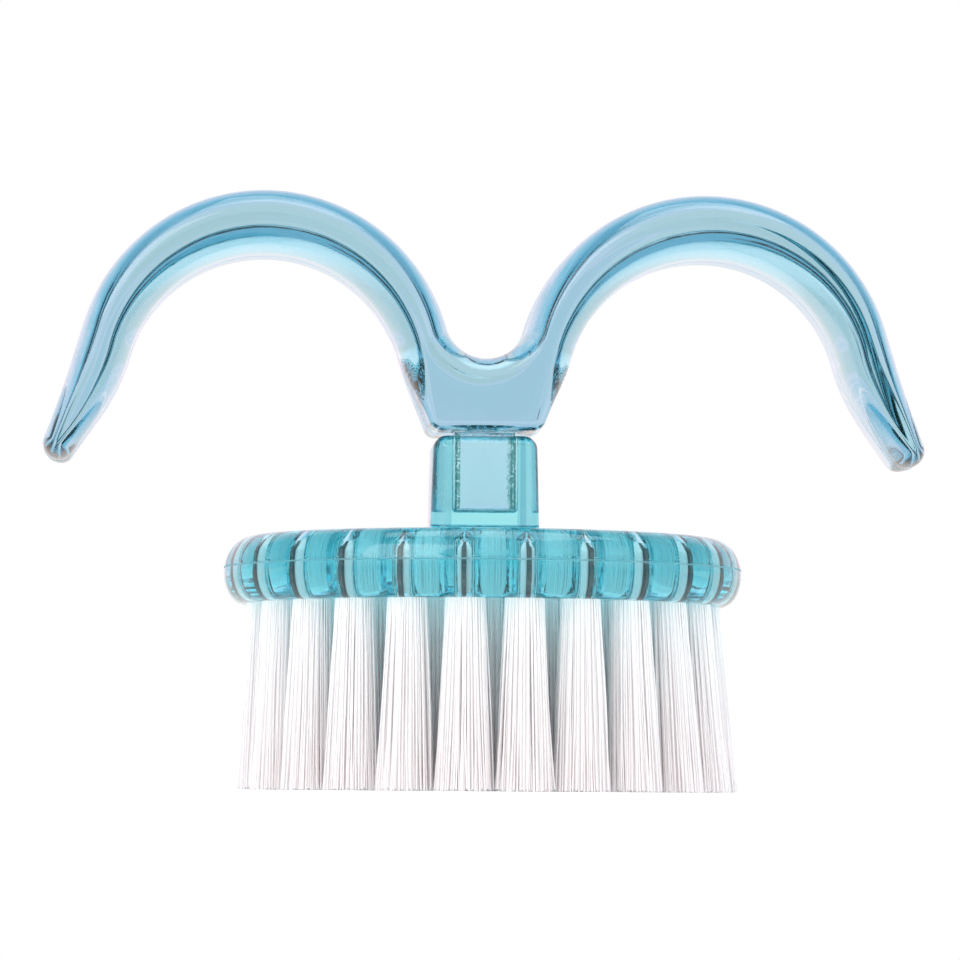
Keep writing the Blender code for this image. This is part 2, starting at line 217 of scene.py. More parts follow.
# Anchor steel
STEEL_NOISE = dict(scale=6000.0, detail=3.0, roughness=0.6)
STEEL_SQUEEZE = (0.1, 0.1, 1)
STEEL_TONES = ((0.0, (0.03, 0.05, 0.05)), (1.0, (0.16, 0.19, 0.19)))
STEEL_ROUGHNESS = (0.22, 0.42)

# Table. Clear plastic sees it tinted, by the place along y
WHITE = (1, 1, 1)
TABLE_REACH = 30.0
TABLE_DROP = 0.00002
TABLE_ROUGHNESS = 0.6
TABLE_NOISE = dict(scale=90.0, detail=3.0, roughness=0.5)
TABLE_TONES = ((0.0, (0.90, 0.90, 0.90)), (1.0, (0.93, 0.93, 0.93)))
TABLE_TINT_FRONT = -0.30
TABLE_TINT_BACK = 0.05
TABLE_TINTS = ((0.0, (0.80, 0.86, 0.95)), (0.5, (0.45, 0.76, 0.87)), (0.83, (0.72, 0.78, 0.84)),
               (0.89, (0.50, 0.70, 0.84)), (0.94, (0.42, 0.72, 0.84)), (1.0, (0.96, 0.91, 0.89)))
SHADOW_REACH = (0.03, 0.16)
PLAIN_WHITE_SHARE = (0.55, 1.0)

# Surroundings. Clear plastic sees them tinted, by direction: -y is 0 and +y is 1
SOFT_COLOUR = (1.0, 0.985, 0.985)
SOFT_STRENGTH = 1.7
ROOM_TINTS = ((0.0, (0.04, 0.22, 0.22)), (0.008, (0.08, 0.32, 0.32)), (0.022, (0.50, 0.84, 0.92)),
              (0.10, (0.82, 1.0, 1.0)), (0.30, (0.95, 0.98, 1.0)), (0.47, (0.45, 0.74, 0.86)),
              (0.60, (0.34, 0.70, 0.83)), (0.70, (0.52, 0.78, 0.87)), (0.80, (0.60, 0.86, 0.93)),
              (0.88, (0.96, 0.92, 0.98)), (1.0, (0.94, 0.91, 0.95)))
CEILING_TINTS = ((0.25, (1, 1, 1)), (0.8, (0.78, 0.90, 0.95)))
BAND_NOISE = dict(scale=1.0, detail=2.0, roughness=0.5)
BAND_SQUEEZE = (2.5, 2.5, 34)
BAND_TINTS = ((0.38, (0.94, 0.97, 0.99)), (0.64, (1.35, 1.10, 1.12)))

# Lamps, with their power in watts
LAMP_AIM = Vector((0, 0, 0.03))
KEY_PLACE = Vector((-0.45, -0.50, 0.55))
KEY_SIZE = (0.5, 0.5)
KEY_POWER = 1.6
TOP_PLACE = Vector((0.05, 0.10, 0.70))
TOP_SIZE = (0.6, 0.4)
TOP_POWER = 1.2

# Camera, found by laying the part's outline over the photograph
CAMERA_AIM = Vector((-0.00031, 0, 0.0300))
CAMERA_DISTANCE = 0.480
CAMERA_HEIGHT = 0.0008
CAMERA_YAW = radians(3.17)
CAMERA_ROLL = radians(0.41)
METRES_PER_PIXEL = 0.0000967
IMAGE_WIDTH = 960
SENSOR_WIDTH = 36.0
CAMERA_CLIP = (0.01, 100.0)

# Light paths that reach the tufts through the clear head
MAX_BOUNCES = 32
DIFFUSE_BOUNCES = 24


# Node trees

class Tree:
    """The nodes of a material or a world, with a short call for each kind that is used here."""

    def __init__(self, owner):
        owner.use_nodes = True
        self.nodes = owner.node_tree.nodes
        self.links = owner.node_tree.links

    def feed(self, socket, value):
        """Link a socket to another one, or give it a constant. Colours are given without alpha."""
        if isinstance(value, bpy.types.NodeSocket):
            self.links.new(value, socket)
        elif socket.type == "RGBA":
            socket.default_value = (*value, 1)
        else:
            socket.default_value = value

    def add(self, kind, **settings):
        """A new node. A setting is one of its properties, or else an input's name with _ for each space."""
        node = self.nodes.new(kind)
        for key, value in settings.items():
            if hasattr(node, key):
                setattr(node, key, value)
            else:
                self.feed(node.inputs[key.replace("_", " ")], value)
        return node

    def math(self, operation, first, second=0.0):
        node = self.add("ShaderNodeMath", operation=operation)
        self.feed(node.inputs[0], first)
        self.feed(node.inputs[1], second)
        return node.outputs["Value"]

    def place(self, kind="Object"):
        return self.add("ShaderNodeTexCoord").outputs[kind]

    def axes(self, vector):
        return self.add("ShaderNodeSeparateXYZ", Vector=vector).outputs

    def squeezed(self, vector, scale):
        return self.add("ShaderNodeMapping", Vector=vector, Scale=scale).outputs["Vector"]

    def noise(self, vector, scale, detail, roughness):
        node = self.add("ShaderNodeTexNoise", Vector=vector, Scale=scale, Detail=detail, Roughness=roughness)
        return node.outputs["Fac"]

    def rays(self):
        return self.add("ShaderNodeLightPath").outputs

    def map_range(self, value, low, high, to_low=0.0, to_high=1.0, **settings):
        node = self.add("ShaderNodeMapRange", Value=value, From_Min=low, From_Max=high, To_Min=to_low,
                        To_Max=to_high, **settings)
        return node.outputs["Result"]

    def ramp(self, value, stops):
        """Colours by value, from (position, colour) pairs in rising order."""
        node = self.add("ShaderNodeValToRGB", Fac=value)
        elements = node.color_ramp.elements
        for position, _ in stops[2:]:
            elements.new(position)
        for element, (position, colour) in zip(elements, stops):
            element.position = position
            element.color = (*colour, 1)
        return node.outputs["Color"]

    def mix(self, share, first, second, blend="MIX"):
        """Two colours mixed. The Mix node's colour sockets come after those for other kinds of data."""
        node = self.add("ShaderNodeMix", data_type="RGBA", blend_type=blend)
        for index, value in ((0, share), (6, first), (7, second)):
            self.feed(node.inputs[index], value)
        return node.outputs[2]

    def mix_shaders(self, share, first, second):
        node = self.add("ShaderNodeMixShader", Fac=share)
        self.links.new(first, node.inputs[1])
        self.links.new(second, node.inputs[2])
        return node.outputs["Shader"]

    def set_surface(self, shader, output="Material Output"):
        self.links.new(shader, self.nodes[output].inputs["Surface"])

    def seeing(self, rays):
        """1 for camera, glossy and transmission rays, which see the surroundings themselves."""
        first = self.math("MAXIMUM", rays["Is Camera Ray"], rays["Is Glossy Ray"])
        return self.math("MAXIMUM", first, rays["Is Transmission Ray"])


def new_material(name):
    material = bpy.data.materials.new(name)
    tree = Tree(material)
    return material, tree, tree.nodes["Principled BSDF"]


# Materials

# A square column about z: its half width, the width of its corner columns, and its ends
Zone = namedtuple("Zone", "half_width corner_width low high")
NO_ZONE = Zone(0.0, 0.0, 1.0, 1.0)


def zone_masks(tree, place, zone):
    """Two masks, 1 inside: for the whole square column, and for its corner columns alone."""
    axes = tree.axes(place)
    square = tree.math("MULTIPLY", tree.math("GREATER_THAN", axes["Z"], zone.low),
                       tree.math("LESS_THAN", axes["Z"], zone.high))
    corners = square
    for axis in ("X", "Y"):
        size = tree.math("ABSOLUTE", axes[axis])
        square = tree.math("MULTIPLY", square, tree.math("LESS_THAN", size, zone.half_width))
        outer = tree.math("GREATER_THAN", size, zone.half_width - zone.corner_width)
        corners = tree.math("MULTIPLY", corners, outer)
    return square, tree.math("MULTIPLY", corners, square)


def plastic_colour(tree, place, grain, shaded_corners, corner_shade_zone):
    """A faintly cloudy tint, with painted shade: dark specks along the grained corners, and a deeper tint on
    the thick corners.
    """
    cloud = tree.noise(place, **CLOUD_NOISE)
    # Painted shade: dark specks that follow the grain along the corner columns
    corner_shade = tree.math("MULTIPLY", tree.map_range(grain, *CORNER_SHADE_RANGE), shaded_corners)
    colour = tree.mix(corner_shade, tree.ramp(cloud, CLOUD_TINTS), CORNER_SHADE_COLOUR)
    # Painted shade: the stem's corner columns are darkened with a deeper tint
    _, shade_columns = zone_masks(tree, place, corner_shade_zone)
    return tree.mix(shade_columns, colour, STEM_CORNER_SHADE, "MULTIPLY")


def plastic_roughness(tree, place, line_axis, line_at):
    """Polish with faint rubbed patches, and a dull parting line."""
    rub = tree.noise(place, **RUB_NOISE)
    polish = tree.map_range(rub, *RUB_RANGE, POLISHED_ROUGHNESS, RUBBED_ROUGHNESS)
    away = tree.math("ABSOLUTE", tree.math("SUBTRACT", tree.axes(place)[line_axis], line_at))
    dull = tree.math("MULTIPLY", tree.math("LESS_THAN", away, LINE_DULL_HALF_WIDTH), LINE_ROUGHNESS)
    return tree.math("MAXIMUM", polish, dull)


def plastic_normal(tree, place, grain, grained_square):
    """Slow flow ripples of the moulding, and spark-eroded grain on the peg and in its socket."""
    flow = tree.noise(place, **FLOW_NOISE)
    ripple = tree.add("ShaderNodeBump", Strength=FLOW_STRENGTH, Distance=FLOW_DEPTH, Height=flow)
    strength = tree.math("MULTIPLY", grained_square, GRAIN_STRENGTH)
    eroded = tree.add("ShaderNodeBump", Strength=strength, Distance=GRAIN_DEPTH, Height=grain,
                      Normal=ripple.outputs["Normal"])
    return eroded.outputs["Normal"]


def clear_plastic(name, absorbed, density, grain_and_shade_zone, corner_shade_zone, line_axis, line_at):
    """Tinted clear styrene: the tint is in the body, so thin edges stay pale and long paths turn aqua."""
    material, tree, shader = new_material(name)
    body = tree.add("ShaderNodeVolumeAbsorption", Color=absorbed, Density=density)
    tree.links.new(body.outputs["Volume"], tree.nodes["Material Output"].inputs["Volume"])
    place = tree.place()
    grain = tree.noise(place, **GRAIN_NOISE)
    # The corner columns of this zone get dark specks of painted shade; the whole zone gets the grain bump
    square, corners = zone_masks(tree, place, grain_and_shade_zone)
    tree.feed(shader.inputs["IOR"], STYRENE_IOR)
    tree.feed(shader.inputs["Transmission Weight"], 1.0)
    # The surface colour carries painted shade: dark specks on the peg's and socket's corners, and a deeper
    # tint on the stem's corners
    tree.feed(shader.inputs["Base Color"], plastic_colour(tree, place, grain, corners, corner_shade_zone))
    tree.feed(shader.inputs["Roughness"], plastic_roughness(tree, place, line_axis, line_at))
    tree.feed(shader.inputs["Normal"], plastic_normal(tree, place, grain, square))

    # Shadow rays find a tinted window, so that lamps reach what lies inside
    window = tree.add("ShaderNodeBsdfTransparent", Color=LAMP_TINT)
    shadow_ray = tree.rays()["Is Shadow Ray"]
    tree.set_surface(tree.mix_shaders(shadow_ray, shader.outputs["BSDF"], window.outputs["BSDF"]))
    return material


def nylon(name):
    """White nylon with painted shade, greyer and a little warmer towards the cut tips, and fine streaks that
    run down the bristles.
    """
    material, tree, shader = new_material(name)
    tree.feed(shader.inputs["IOR"], NYLON_IOR)
    tree.feed(shader.inputs["Roughness"], NYLON_ROUGHNESS)
    place = tree.place()
    height = tree.map_range(tree.axes(place)["Z"], 0.0, BRISTLE_LENGTH)
    streak = tree.noise(tree.squeezed(place, STREAK_SQUEEZE), **STREAK_NOISE)
    # Painted shade: the bristles turn greyer and warmer from the root down to the cut tips
    colour = tree.mix(1.0, tree.ramp(height, NYLON_TIP_SHADE), tree.ramp(streak, NYLON_STREAKS), "MULTIPLY")
    tree.feed(shader.inputs["Base Color"], colour)

    # A filament passes about as much light as it throws back
    through = tree.add("ShaderNodeBsdfTranslucent", Color=colour)
    tree.set_surface(tree.mix_shaders(NYLON_TRANSLUCENCY, shader.outputs["BSDF"], through.outputs["BSDF"]))
    return material


def anchor_metal(name):
    """Drawn steel strip with fine marks."""
    material, tree, shader = new_material(name)
    marks = tree.noise(tree.squeezed(tree.place(), STEEL_SQUEEZE), **STEEL_NOISE)
    tree.feed(shader.inputs["Metallic"], 1.0)
    tree.feed(shader.inputs["Base Color"], tree.ramp(marks, STEEL_TONES))
    tree.feed(shader.inputs["Roughness"], tree.map_range(marks, 0.0, 1.0, *STEEL_ROUGHNESS))
    return material


# Mesh helpers

def mesh_object(name, mesh, material=None):
    obj = bpy.data.objects.new(name, mesh)
    bpy.context.scene.collection.objects.link(obj)
    if material is not None:
        mesh.materials.append(material)
    return obj


def mesh_from(name, shape):
    mesh = bpy.data.meshes.new(name)
    shape.to_mesh(mesh)
    shape.free()
    return mesh


def loft(shape, rings):
    """Quads between closed rings with the same number of points, and a face at each end."""
    made = [[shape.verts.new(p) for p in ring] for ring in rings]
    for lower, upper in zip(made, made[1:]):
        for i in range(len(lower)):
            j = (i + 1) % len(lower)
            shape.faces.new((lower[i], lower[j], upper[j], upper[i]))
    shape.faces.new(reversed(made[0]))
    shape.faces.new(made[-1])


def square_bar(name, width, length, middle, corner_steps):
    """An upright bar about z with rounded edges."""
    shape = bmesh.new()
    place = Matrix.Translation((0, 0, middle)) @ Matrix.Diagonal((width, width, length, 1))
    bmesh.ops.create_cube(shape, size=1, matrix=place)
    bmesh.ops.bevel(shape, geom=shape.edges, offset=PEG_CORNER, segments=corner_steps, profile=0.5,
                    affect="EDGES")
    return mesh_object(name, mesh_from(name, shape))


def apply_boolean(obj, tool, operation):
    modifier = obj.modifiers.new(operation.lower(), "BOOLEAN")
    modifier.operation = operation
    modifier.solver = "EXACT"
    modifier.object = tool
    graph = bpy.context.evaluated_depsgraph_get()
    mesh = bpy.data.meshes.new_from_object(obj.evaluated_get(graph))
    old = obj.data
    obj.modifiers.clear()
    obj.data = mesh
    mesh.name = obj.name
    bpy.data.meshes.remove(old)
    bpy.data.objects.remove(tool, do_unlink=True)


def shade_round(obj):
    obj.data.shade_smooth()
    obj.data.set_sharp_from_angle(angle=SMOOTH_ANGLE)


def finish_piece(obj, node):
    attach(obj, "root")
    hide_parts(node)


# Handle

def on_circle(centre, radius, angle):
    return Vector((centre.x + radius * cos(angle), centre.y + radius * sin(angle)))


def heading(tilt, up, side):
    """A direction in the outline's plane, tilted from upright."""
    return Vector((side * sin(tilt), up * cos(tilt)))


def arc(centre, radius, start, end):
    turn = abs(end - start)
    count = max(2, ceil(radius * turn / OUTLINE_STEP), ceil(turn / OUTLINE_TURN))
    return [on_circle(centre, radius, start + (end - start) * i / count) for i in range(count + 1)]


def blend_curve(start, start_heading, end, end_heading):
    """Inner points of a smooth curve that leaves and arrives along two headings."""
    reach = (end - start).length * BLEND_REACH
    first = start + start_heading * reach
    last = end - end_heading * reach
    count = max(2, ceil((end - start).length / OUTLINE_STEP))
    points = []
    for i in range(1, count):
        t = i / count
        u = 1 - t
        points.append(start * u ** 3 + first * 3 * u * u * t + last * 3 * u * t * t + end * t ** 3)
    return points


def half_outline():
    """The handle's outline at x >= 0, from the valley's floor round the arch to the hub's foot."""
    crown_top = HUB_BOTTOM + ARCH_HEIGHT
    outer_centre = Vector((ARCH_X, crown_top - ARCH_OUTER_RADIUS))
    inner_radius = ARCH_OUTER_RADIUS - LEG_THICKNESS
    inner_centre = Vector((ARCH_X, crown_top - CROWN_THICKNESS - inner_radius))
    far_x = ARCH_X + ARCH_OUTER_RADIUS + TIP_SPLAY
    tip_centre = Vector((far_x - TIP_RADIUS, HUB_BOTTOM + TIP_HEIGHT + TIP_RADIUS))
    rise = sqrt((ARCH_OUTER_RADIUS + VALLEY_RADIUS) ** 2 - ARCH_X ** 2)
    valley_centre = Vector((0, outer_centre.y + rise))
    touch = atan2(-rise, ARCH_X)
    points = arc(valley_centre, VALLEY_RADIUS, -pi / 2, touch)
    points += arc(outer_centre, ARCH_OUTER_RADIUS, pi + touch, OUTER_LEAVE_TILT)[1:]

    tip = arc(tip_centre, TIP_RADIUS, OUTER_TIP_TILT, INNER_TIP_TILT - pi)
    leaving = heading(OUTER_LEAVE_TILT, -1, 1)
    points += blend_curve(points[-1], leaving, tip[0], heading(OUTER_TIP_TILT, -1, 1))
    points += tip
    inner = arc(inner_centre, inner_radius, INNER_LEAVE_TILT, pi - INNER_LEAVE_TILT)
    leaving = heading(INNER_TIP_TILT, 1, -1)
    points += blend_curve(tip[-1], leaving, inner[0], heading(INNER_LEAVE_TILT, 1, -1))
    points += inner

    corner_turn = pi / 2 - HUB_TILT
    corner_centre = Vector((HUB_WIDTH / 2 - HUB_CORNER * tan(corner_turn / 2), HUB_BOTTOM + HUB_CORNER))
    corner = arc(corner_centre, HUB_CORNER, -HUB_TILT, -pi / 2)
    leaving = heading(INNER_LEAVE_TILT, -1, -1)
    points += blend_curve(points[-1], leaving, corner[0], heading(HUB_TILT, -1, -1))
    return points + corner


def whole_outline():
    right = half_outline()
    left = [Vector((-p.x, p.y)) for p in reversed(right[1:])]
    return np.array([(p.x, p.y) for p in right + left])


def inset(outline, distance):
    """The closed outline moved inwards along its own normals."""
    ahead = np.roll(outline, -1, axis=0) - outline
    ahead /= np.linalg.norm(ahead, axis=1, keepdims=True)
    along = ahead + np.roll(ahead, 1, axis=0)
    along /= np.linalg.norm(along, axis=1, keepdims=True)
    outward = np.stack([-along[:, 1], along[:, 0]], axis=1)
    return outline - outward * np.asarray(distance).reshape(-1, 1)


def smooth_step(value, low, high):
    share = np.clip((value - low) / (high - low), 0, 1)
    return share * share * (3 - 2 * share)


def oval_size(outline):
    """How far the section's oval end reaches into the outline at each point, and how long it is along y."""
    x, z = np.abs(outline[:, 0]), outline[:, 1]
    centre_z = HUB_BOTTOM + ARCH_HEIGHT - ARCH_OUTER_RADIUS
    rise = np.maximum((z - centre_z) / np.hypot(x - ARCH_X, z - centre_z), 0)
    reach = OVAL_SHARE * (LEG_THICKNESS + (CROWN_THICKNESS - LEG_THICKNESS) * rise)
    tip_x = ARCH_X + ARCH_OUTER_RADIUS + TIP_SPLAY - TIP_RADIUS
    tip_z = HUB_BOTTOM + TIP_HEIGHT + TIP_RADIUS
    at_tip = OVAL_SHARE * 2 * TIP_RADIUS
    from_tip = smooth_step(np.hypot(x - tip_x, z - tip_z), OVAL_TIP_START, OVAL_TIP_END)
    reach = at_tip + (reach - at_tip) * from_tip
    share = np.where(x > ARCH_X, 1, smooth_step(z - HUB_BOTTOM, OVAL_HUB_START, OVAL_HUB_END))
    at_foot = HUB_CORNER * FOOT_SHARE
    return at_foot + (reach - at_foot) * share, FOOT_LENGTH + (OVAL_LENGTH - FOOT_LENGTH) * share


def section_rings(outline):
    """The outline at each depth: from the front face round an oval end and along the wall to the back face.

    The wall's middle carries the parting line, a fine ridge.
    """
    reach, length = oval_size(outline)
    half = HANDLE_DEPTH / 2
    rings = [(inset(outline, LINE_RISE + reach + FLAT_MARGIN / 2), np.full(len(outline), -half))]
    for row in range(OVAL_ROWS + 1):
        angle = pi / 2 * (1 - row / OVAL_ROWS)
        rings.append((inset(outline, LINE_RISE + reach * (1 - cos(angle))), length * (1 - sin(angle)) - half))
    rings.append((inset(outline, np.full(len(outline), LINE_RISE)), np.full(len(outline), -LINE_HALF_WIDTH)))
    back = [(flat, -y) for flat, y in reversed(rings)]
    return rings + [(outline, np.zeros(len(outline)))] + back


def build_handle(material):
    outline = inset(whole_outline(), BOX_MARGIN)
    shape = bmesh.new()
    rings = []
    for flat, depths in section_rings(outline):
        rings.append([(x, y, z) for (x, z), y in zip(flat, depths)])
    loft(shape, rings)
    bmesh.ops.recalc_face_normals(shape, faces=shape.faces)
    handle = mesh_object("handle_moulding", mesh_from("handle_moulding", shape), material)

    sunk = 2 * HUB_CORNER
    length = PEG_LENGTH + sunk
    peg = square_bar("peg_shape", PEG_WIDTH, length, HUB_BOTTOM + sunk - length / 2, PEG_CORNER_STEPS)
    apply_boolean(handle, peg, "UNION")
    shade_round(handle)
    finish_piece(handle, "handle")


# Head

def rim_profile():
    """Half section of the disc from the top's centre to the underside's centre, with the parting line."""
    radius = HEAD_RADIUS - LINE_RISE
    widest = HEAD_TOP - RIM_TOP_HEIGHT
    foot_height = widest - BRISTLE_LENGTH
    profile = [(0, HEAD_TOP), (radius - RIM_TOP_WIDTH - FLAT_MARGIN, HEAD_TOP)]
    for i in range(RIM_STEPS):
        angle = pi / 2 * (1 - i / RIM_STEPS)
        profile.append((radius - RIM_TOP_WIDTH * (1 - cos(angle)), widest + RIM_TOP_HEIGHT * sin(angle)))
    line = HEAD_TOP - HEAD_LINE_BELOW_TOP
    at_line = radius - RIM_TOP_WIDTH * (1 - sqrt(1 - ((line - widest) / RIM_TOP_HEIGHT) ** 2))
    profile = [p for p in profile if p[1] > line + 2 * LINE_HALF_WIDTH]
    profile += [(at_line, line + LINE_HALF_WIDTH), (at_line + LINE_RISE, line),
                (at_line, line - LINE_HALF_WIDTH)]
    for i in range(RIM_STEPS + 1):
        angle = pi / 2 * i / RIM_STEPS
        profile.append((radius - RIM_FOOT_WIDTH * (1 - cos(angle)), widest - foot_height * sin(angle)))
    profile += [(radius - RIM_FOOT_WIDTH - FLAT_MARGIN, BRISTLE_LENGTH), (0, BRISTLE_LENGTH)]
    return profile


def turned(name, profile, steps, material):
    """A profile of (radius, z) points turned about z."""
    mesh = bpy.data.meshes.new(name + "_section")
    mesh.from_pydata([(x, 0, z) for x, z in profile], [(i, i + 1) for i in range(len(profile) - 1)], [])
    obj = mesh_object(name, mesh)
    screw = obj.modifiers.new("turned", "SCREW")
    screw.axis = "Z"
    screw.steps = steps
    screw.render_steps = steps
    screw.use_merge_vertices = True
    screw.merge_threshold = MERGE
    graph = bpy.context.evaluated_depsgraph_get()
    whole = bpy.data.meshes.new_from_object(obj.evaluated_get(graph))
    obj.modifiers.clear()
    obj.data = whole
    shape = bmesh.new()
    shape.from_mesh(whole)
    bmesh.ops.recalc_face_normals(shape, faces=shape.faces)
    shape.to_mesh(whole)
    shape.free()
    whole.materials.append(material)
    return obj


def rounded_rectangle(half_x, half_y, corner, z):
    points = []
    for quarter, (sx, sy) in enumerate(((1, 1), (-1, 1), (-1, -1), (1, -1))):
        centre = Vector((sx * (half_x - corner), sy * (half_y - corner)))
        for i in range(STEM_CORNER_STEPS + 1):
            angle = pi / 2 * (quarter + i / STEM_CORNER_STEPS)
            points.append((centre.x + corner * cos(angle), centre.y + corner * sin(angle), z))
    return points


def stem_grow(height):
    """How far the stem's side stands out at a height above the head, beyond its top outline."""
    draft = (STEM_HEIGHT - height) * tan(STEM_DRAFT)
    flare = 0
    if height < STEM_FLARE:
        flare = STEM_FLARE - sqrt(STEM_FLARE ** 2 - (STEM_FLARE - max(height, 0)) ** 2)
    return draft + flare


def stem_shape():
    levels = [(-RIM_TOP_HEIGHT / 2, stem_grow(0))]
    for i in range(STEM_FLARE_STEPS + 1):
        height = STEM_FLARE * (1 - cos(pi / 2 * i / STEM_FLARE_STEPS))
        levels.append((height, stem_grow(height)))
    for i in range(STEM_TOP_STEPS + 1):
        angle = pi / 2 * i / STEM_TOP_STEPS
        height = STEM_HEIGHT - STEM_TOP_ROUND * (1 - sin(angle))
        levels.append((height, stem_grow(height) - STEM_TOP_ROUND * (1 - cos(angle))))
    levels.append((STEM_HEIGHT, stem_grow(STEM_HEIGHT) - STEM_TOP_ROUND - FLAT_MARGIN / 2))
    shape = bmesh.new()
    rings = []
    for height, grow in levels:
        half_x, half_y = STEM_WIDTH / 2 + grow, STEM_DEPTH / 2 + grow
        corner = max(STEM_CORNER + grow, FLAT_MARGIN)
        rings.append(rounded_rectangle(half_x, half_y, corner, HEAD_TOP + height))
    loft(shape, rings)
    return mesh_object("stem_shape", mesh_from("stem_shape", shape))


def tuft_places():
    """Ring number, place in the ring, ring radius and angle of every tuft, from the rim inwards."""
    places = []
    steps = len(TUFTS_PER_RING) - 1
    for ring, count in enumerate(TUFTS_PER_RING):
        radius = OUTER_RING_RADIUS + (INNER_RING_RADIUS - OUTER_RING_RADIUS) * ring / steps
        offset = 0.5 if ring % 2 == 0 else 0.0
        for i in range(count):
            places.append((ring + 1, i + 1, radius, 2 * pi * (i + offset) / count - pi / 2))
    return places


def bore_radius(ring):
    return OUTER_BORE_RADIUS if ring == 1 else INNER_BORE_RADIUS


def hole_cutters():
    """All the blind holes: a flared mouth, a narrow bore and a shallow cone at its end."""
    shape = bmesh.new()
    turns = [2 * pi * i / HOLE_SIDES for i in range(HOLE_SIDES)]
    for ring, _, radius, angle in tuft_places():
        bore = bore_radius(ring)
        levels = ((BRISTLE_LENGTH - MOUTH_DEPTH / 2, HOLE_RADIUS), (BRISTLE_LENGTH, HOLE_RADIUS),
                  (BRISTLE_LENGTH + MOUTH_DEPTH, bore), (BRISTLE_LENGTH + HOLE_DEPTH, bore),
                  (BRISTLE_LENGTH + HOLE_DEPTH + DRILL_POINT, bore * DRILL_TIP_SHARE))
        centre = Vector((radius * cos(angle), radius * sin(angle)))
        loft(shape, [[(*on_circle(centre, size, turn), z) for turn in turns] for z, size in levels])
    return mesh_object("hole_cutters", mesh_from("hole_cutters", shape))


def build_head(material):
    head = turned("head_moulding", rim_profile(), HEAD_TURN_STEPS, material)
    apply_boolean(head, stem_shape(), "UNION")
    width = PEG_WIDTH + 2 * PEG_CLEARANCE
    socket = square_bar("socket_shape", width, 2 * PEG_LENGTH, STEM_TOP, SOCKET_CORNER_STEPS)
    apply_boolean(head, socket, "DIFFERENCE")
    apply_boolean(head, hole_cutters(), "DIFFERENCE")
    shade_round(head)
    finish_piece(head, "head")


# Tufts and anchors

def tuft_tip_radius():
    """Tufts fan out until they all but touch at the tips, in their ring and to the next."""
    rings = {}
    for ring, _, radius, _ in tuft_places():
        rings[ring] = radius
    pitches = [2 * radius * sin(pi / TUFTS_PER_RING[ring - 1]) for ring, radius in rings.items()]
    radii = sorted(rings.values())
    pitches += [b - a for a, b in zip(radii, radii[1:])]
    return (min(pitches) * (1 + TUFT_LEAN) - TIP_GAP) / 2


def bristle_paths(ring, ring_radius, angle, chance):
    """Centre lines of one tuft's bristles: rows are points from the fold in the bore down to the cut tip.

    The tuft is narrow in its bore, fills the hole's mouth and then fans out until it meets its neighbours.
    """
    golden = pi * (3 - sqrt(5))
    order = np.arange(BRISTLES_PER_TUFT)
    reach = np.sqrt((order + 0.5) / BRISTLES_PER_TUFT)
    turn = order * golden + chance.uniform(0, 2 * pi)
    x = reach * np.cos(turn)
    y = reach * np.sin(turn)
    bore_reach = bore_radius(ring) - BORE_INSET
    bore = np.stack([ring_radius + x * bore_reach, y * bore_reach], axis=1)
    root_reach = HOLE_RADIUS - ROOT_INSET
    root = np.stack([ring_radius + x * root_reach, y * root_reach], axis=1)
    tip_ring_radius = ring_radius * (1 + TUFT_LEAN)
    radial_reach = tuft_tip_radius() - BRISTLE_RADIUS
    side_reach = max(radial_reach, pi * tip_ring_radius / TUFTS_PER_RING[ring - 1] - BRISTLE_RADIUS)
    side_reach = min(side_reach, SIDE_FAN_LIMIT * radial_reach)
    tip = np.stack([tip_ring_radius + x * radial_reach, y * side_reach], axis=1)
    tip += chance.normal(0, TIP_SCATTER, tip.shape)
    at_right = float(smooth_step(np.float64(cos(angle)), RIGHT_SPLAY_FROM, 1.0))
    tip += np.array([cos(angle), -sin(angle)]) * RIGHT_SPLAY * at_right * ring_radius / OUTER_RING_RADIUS
    bow = chance.normal(0, BRISTLE_BOW, root.shape)
    end = chance.uniform(0, TIP_UNEVENNESS, BRISTLES_PER_TUFT) ** 2 / TIP_UNEVENNESS

    fold_top = BRISTLE_LENGTH + TUFT_DEPTH * (1 - FOLD_CROWN * reach ** 2)
    bore_foot = np.full(BRISTLES_PER_TUFT, BRISTLE_LENGTH + FAN_START)
    rows = [np.column_stack([bore, fold_top]), np.column_stack([bore, bore_foot])]
    for i in range(BRISTLE_STEPS + 1):
        t = i / BRISTLE_STEPS
        level = BRISTLE_LENGTH * (1 - t) + end * t
        flat = root + (tip - root) * t ** FAN_POWER + bow * sin(pi * t)
        rows.append(np.column_stack([flat, level]))
    return np.stack(rows)


def tubes(name, paths, radius, sides):
    """A closed, flat shaded tube along each path; all tubes go into one mesh."""
    rows, count, _ = paths.shape
    angles = np.arange(sides) * 2 * pi / sides
    ring = np.stack([np.cos(angles), np.sin(angles), np.zeros(sides)], axis=1) * radius
    verts = paths[:, :, None, :] + ring[None, None, :, :]
    verts = verts.transpose(1, 0, 2, 3).reshape(-1, 3)
    one = []
    for row in range(rows - 1):
        for i in range(sides):
            j = (i + 1) % sides
            one.append((row * sides + j, row * sides + i, (row + 1) * sides + i, (row + 1) * sides + j))
    per = rows * sides
    quads = (np.array(one)[None] + (np.arange(count) * per)[:, None, None]).reshape(-1, 4)
    top = np.arange(sides)
    low = (rows - 1) * sides + np.arange(sides)[::-1]
    faces = quads.tolist()
    for k in range(count):
        faces.append((top + k * per).tolist())
        faces.append((low + k * per).tolist())
    mesh = bpy.data.meshes.new(name)
    mesh.from_pydata(verts.tolist(), [], faces)
    mesh.shade_flat()
    return mesh


